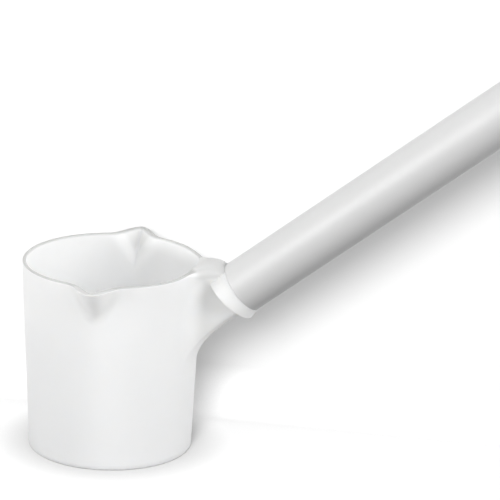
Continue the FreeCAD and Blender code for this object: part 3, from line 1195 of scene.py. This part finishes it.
@dataclass(frozen=True)
class Handle:
    """The extruded tube that goes over the spigot, in millimetres."""

    axis: Axis
    radius: float = 17.0
    wall: float = 2.5
    length: float = 400.0
    edge_round: float = 0.15
    edge_steps: int = 5
    segments: int = 160

    def tree(self) -> bpy.types.NodeTree:
        """Builds the nodes that turn the tube's wall section round its axis.

        Returns:
            The node group, with its sizes as named inputs.
        """
        tree = bpy.data.node_groups.new("tube_from_sizes", "GeometryNodeTree")
        for label, kind in (("Outer Radius", "Float"), ("Wall", "Float"), ("Length", "Float"),
                            ("Edge Round", "Float"), ("Edge Steps", "Int"), ("Segments", "Int"),
                            ("Lean", "Float"), ("Start", "Vector"), ("Material", "Material")):
            tree.interface.new_socket(label, in_out="INPUT", socket_type=f"NodeSocket{kind}")
        tree.interface.new_socket("Geometry", in_out="OUTPUT", socket_type="NodeSocketGeometry")
        nodes = Nodes(tree)
        given = nodes.add("NodeGroupInput").outputs
        half_wall = nodes.maths("MULTIPLY", given["Wall"], 0.5)
        path = nodes.add("GeometryNodeCurvePrimitiveCircle", Resolution=given["Segments"],
                         Radius=nodes.maths("SUBTRACT", given["Outer Radius"], half_wall))
        section = nodes.add("GeometryNodeCurvePrimitiveQuadrilateral", Width=given["Wall"],
                            Height=given["Length"])
        rounded = nodes.add("GeometryNodeFilletCurve", mode="POLY", Curve=section.outputs["Curve"],
                            Count=given["Edge Steps"], Radius=given["Edge Round"])
        sweep = nodes.add("GeometryNodeCurveToMesh", Curve=path.outputs["Curve"],
                          Profile_Curve=rounded.outputs["Curve"])
        lift = nodes.add("ShaderNodeCombineXYZ", Z=nodes.maths("MULTIPLY", given["Length"], 0.5))
        raised = nodes.add("GeometryNodeTransform", Geometry=sweep.outputs["Mesh"],
                           Translation=lift.outputs["Vector"])
        turn = nodes.add("ShaderNodeCombineXYZ", Y=given["Lean"])
        leaning = nodes.add("GeometryNodeTransform", Geometry=raised.outputs["Geometry"],
                            Rotation=turn.outputs["Vector"], Translation=given["Start"])
        real = nodes.add("GeometryNodeRealizeInstances", Geometry=leaning.outputs["Geometry"])
        dressed = nodes.add("GeometryNodeSetMaterial", Geometry=real.outputs["Geometry"],
                            Material=given["Material"])
        nodes.add("NodeGroupOutput", Geometry=dressed.outputs["Geometry"])
        return tree

    def build(self, material: bpy.types.Material) -> bpy.types.Object:
        """Builds the tube.

        Args:
            material: the tube's finish.

        Returns:
            The finished piece, as a plain mesh.
        """
        tree = self.tree()
        seed = placed("tube_seed", bpy.data.meshes.new("tube_seed"))
        modifier = seed.modifiers.new("tube", "NODES")
        modifier.node_group = tree
        values = {"Outer Radius": self.radius * MM, "Wall": self.wall * MM, "Length": self.length * MM,
                  "Edge Round": self.edge_round * MM, "Edge Steps": self.edge_steps,
                  "Segments": self.segments, "Lean": math.radians(90.0 - self.axis.lean),
                  "Start": (self.axis.reach * MM, 0.0, self.axis.height * MM), "Material": material}
        for item in tree.interface.items_tree:
            if item.item_type == "SOCKET" and item.in_out == "INPUT":
                modifier[item.identifier] = values[item.name]
        piece = plain_copy(seed, "tube_handle")
        finish_shading(piece.data)
        return piece


class Lit(Enum):
    """What a lamp lights."""

    BOWL = "lit_mouldings"
    TUBE = "lit_tube"
    STAGE = "lit_stage"


@dataclass(frozen=True)
class Lamp:
    """One soft sun: its strength, how wide it looks, and where it shines from, in degrees.

    The source is an azimuth and an elevation. A lamp that nothing blocks casts no shadow.
    """

    name: str
    lights: Lit
    energy: float
    angle: float
    source: tuple[float, float]
    blocked: bool = True

    def build(self) -> bpy.types.Object:
        """Builds the lamp.

        Returns:
            The lamp's object.
        """
        data = bpy.data.lights.new(self.name, "SUN")
        data.energy = self.energy
        data.angle = math.radians(self.angle)
        data.use_shadow = self.blocked
        lamp = placed(self.name, data)
        lamp.rotation_euler = towards(*self.source).to_track_quat("Z", "Y").to_euler()
        return lamp


@dataclass(frozen=True)
class Studio:
    """The white floor, the soft light and the camera at the photograph's viewing angle.

    Lengths are in millimetres and angles in degrees, but the stage's half-span and the far clip are in
    metres. Glow and bounce are what the stage sends to the camera and to the object.
    """

    azimuth: float = 10.83
    elevation: float = 17.76
    roll: float = 1.54
    distance: float = 2187.5
    shift_right: float = 85.68
    shift_up: float = 8.10
    aim_height: float = 121.5
    lens: float = 252.0
    sensor: float = 36.0
    far_clip: float = 100.0
    ambient: float = 0.68
    lamps: tuple[Lamp, ...] = (
        Lamp("bowl_left", Lit.BOWL, 2.9, 18.0, (-48.0, -2.0)),
        Lamp("bowl_right", Lit.BOWL, 1.7, 36.0, (76.0, 23.0)),
        Lamp("bowl_front", Lit.BOWL, 0.52, 36.0, (0.0, 42.0)),
        Lamp("bowl_from_table", Lit.BOWL, 0.72, 30.0, (0.0, -42.0), blocked=False),
        Lamp("tube_left", Lit.TUBE, 2.8, 44.0, (-40.0, 2.0)),
        Lamp("tube_right", Lit.TUBE, 2.3, 44.0, (70.0, 35.0)),
        Lamp("tube_front", Lit.TUBE, 0.4, 44.0, (0.0, 20.0)),
        Lamp("shadow", Lit.STAGE, 4.0, 20.0, (3.0, 27.0)))
    stage_half_span: float = 6.0
    wall_place: float = 84.0
    cove_round: float = 28.0
    cove_steps: int = 16
    floor_bounce: float = 0.04
    wall_bounce: float = 0.45
    stage_white: float = 0.5
    wall_glow: float = 0.28
    floor_glow: float = 0.42
    contact_reach: float = 27.0
    contact_power: float = 2.0
    contact_samples: int = 8

    def camera(self) -> None:
        """Places the camera."""
        a, e, r = (math.radians(v) for v in (self.azimuth, self.elevation, self.roll))
        view = towards(self.azimuth, self.elevation)
        right = Vector((math.cos(a), math.sin(a), 0.0))
        up = Vector((-math.sin(a) * math.sin(e), math.cos(a) * math.sin(e), math.cos(e)))
        place = (Vector((0, 0, self.aim_height)) + view * self.distance + right * self.shift_right
                 + up * self.shift_up)
        x = math.cos(r) * right + math.sin(r) * up
        y = -math.sin(r) * right + math.cos(r) * up
        data = bpy.data.cameras.new("camera")
        data.lens = self.lens
        data.sensor_width = self.sensor
        data.clip_end = self.far_clip
        camera = placed("camera", data)
        matrix = Matrix((x, y, view)).transposed().to_4x4()
        matrix.translation = [c * MM for c in place]
        camera.matrix_world = matrix
        bpy.context.scene.camera = camera

    def world(self) -> None:
        """Lights the scene softly from all round, and shows white behind it."""
        world = bpy.data.worlds.new("studio")
        bpy.context.scene.world = world
        world.use_nodes = True
        nodes = Nodes(world.node_tree)
        path = nodes.add("ShaderNodeLightPath").outputs
        seen = nodes.maths("MAXIMUM", path["Is Camera Ray"], path["Is Glossy Ray"])
        level = nodes.add("ShaderNodeMapRange", To_Min=self.ambient, To_Max=1.0,
                          Value=nodes.maths("MAXIMUM", seen, path["Is Transmission Ray"]))
        background = nodes.add("ShaderNodeBackground", Color=(1.0, 1.0, 1.0, 1.0),
                               Strength=level.outputs["Result"])
        nodes.add("ShaderNodeOutputWorld", Surface=background.outputs["Background"])

    def light(self, stage: bpy.types.Object, mouldings: list[bpy.types.Object],
              tube: bpy.types.Object) -> None:
        """Adds the soft lamps, each of which lights only what it is for.

        Args:
            stage: the floor with its back wall.
            mouldings: the bowl and the cap.
            tube: the handle.
        """
        groups = {}
        for lit, things in ((Lit.STAGE, [stage]), (Lit.BOWL, mouldings), (Lit.TUBE, [tube])):
            groups[lit] = bpy.data.collections.new(lit.value)
            for thing in things:
                groups[lit].objects.link(thing)
        for lamp in self.lamps:
            lamp.build().light_linking.receiver_collection = groups[lamp.lights]

    def stage_white_finish(self) -> bpy.types.Material:
        """Builds the stage's white.

        Its glow makes it white to the camera and fades close to the dipper, which draws the contact shadow.
        From behind it is clear.

        Returns:
            The material.
        """
        material, nodes = fresh_material("studio_white")
        side = nodes.add("ShaderNodeNewGeometry").outputs
        slope = nodes.add("ShaderNodeSeparateXYZ", Vector=side["Normal"]).outputs["Z"]
        path = nodes.add("ShaderNodeLightPath").outputs
        seen = nodes.maths("MAXIMUM", path["Is Camera Ray"], path["Is Glossy Ray"])
        bounce = nodes.add("ShaderNodeMapRange", Value=slope, To_Min=self.wall_bounce,
                           To_Max=self.floor_bounce)
        tone = nodes.add("ShaderNodeMapRange", Value=seen, To_Min=bounce.outputs["Result"],
                         To_Max=self.stage_white)
        diffuse = nodes.add("ShaderNodeBsdfDiffuse", Color=tone.outputs["Result"])
        level = nodes.add("ShaderNodeMapRange", Value=slope, To_Min=self.wall_glow, To_Max=self.floor_glow)
        near = nodes.add("ShaderNodeAmbientOcclusion", samples=self.contact_samples,
                         Distance=self.contact_reach * MM)
        fade = nodes.maths("POWER", near.outputs["AO"], self.contact_power)
        strength = nodes.maths("MULTIPLY", seen, level.outputs["Result"])
        glow = nodes.add("ShaderNodeEmission", Strength=nodes.maths("MULTIPLY", strength, fade))
        both = nodes.add("ShaderNodeAddShader")
        nodes.link(diffuse.outputs["BSDF"], both.inputs[0])
        nodes.link(glow.outputs["Emission"], both.inputs[1])
        clear = nodes.add("ShaderNodeBsdfTransparent")
        mix = nodes.add("ShaderNodeMixShader", Fac=side["Backfacing"])
        nodes.link(both.outputs["Shader"], mix.inputs[1])
        nodes.link(clear.outputs["BSDF"], mix.inputs[2])
        nodes.add("ShaderNodeOutputMaterial", Surface=mix.outputs["Shader"])
        return material

    def stage(self) -> bpy.types.Object:
        """Lays the white floor, which curves up into a back wall close behind the dipper.

        Returns:
            The stage.
        """
        half, wall, bend = self.stage_half_span, self.wall_place * MM, self.cove_round * MM
        profile = [(-half, 0.0), (wall - bend, 0.0)]
        for a in quarter(self.cove_steps)[1:]:
            profile.append((wall - bend + bend * math.sin(a), bend * (1 - math.cos(a))))
        profile.append((wall, half))
        points = [(x, y, z) for y, z in profile for x in (-half, half)]
        faces = [(2 * k, 2 * k + 1, 2 * k + 3, 2 * k + 2) for k in range(len(profile) - 1)]
        mesh = bpy.data.meshes.new("stage")
        mesh.from_pydata(points, [], faces)
        mesh.polygons.foreach_set("use_smooth", [True] * len(mesh.polygons))
        mesh.materials.append(self.stage_white_finish())
        stage = placed("stage", mesh)
        return stage

    def build(self, mouldings: list[bpy.types.Object], tube: bpy.types.Object) -> None:
        """Sets up the camera, the light and the stage.

        Args:
            mouldings: the bowl and the cap.
            tube: the handle.
        """
        bpy.context.scene.view_settings.view_transform = "Standard"
        self.camera()
        self.world()
        self.light(self.stage(), mouldings, tube)


def dress(piece: bpy.types.Object, material: bpy.types.Material) -> None:
    """Gives a piece its only material."""
    piece.data.materials.clear()
    piece.data.materials.append(material)


def main() -> None:
    logging.basicConfig(level=logging.INFO, format="%(name)s: %(message)s")
    axis = Axis()
    bowl = Moulding(axis).build()
    dress(bowl, BOWL_PLASTIC.make())
    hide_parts("dipper_bowl")
    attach(bowl, "root")
    log.info("moulded_bowl: %d faces", len(bowl.data.polygons))
    tube = Handle(axis).build(TUBE_PLASTIC.make())
    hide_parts("handle_tube")
    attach(tube, "root")
    log.info("tube_handle: %d faces", len(tube.data.polygons))
    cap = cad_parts["hanging_cap"]
    material = CAP_PLASTIC.make()
    for slot in cap.material_slots:
        slot.material = material
    log.info("hanging_cap: the solid, with %d faces", len(cap.data.polygons))
    Studio().build([bowl, cap], tube)


if __name__ == "__main__":
    main()
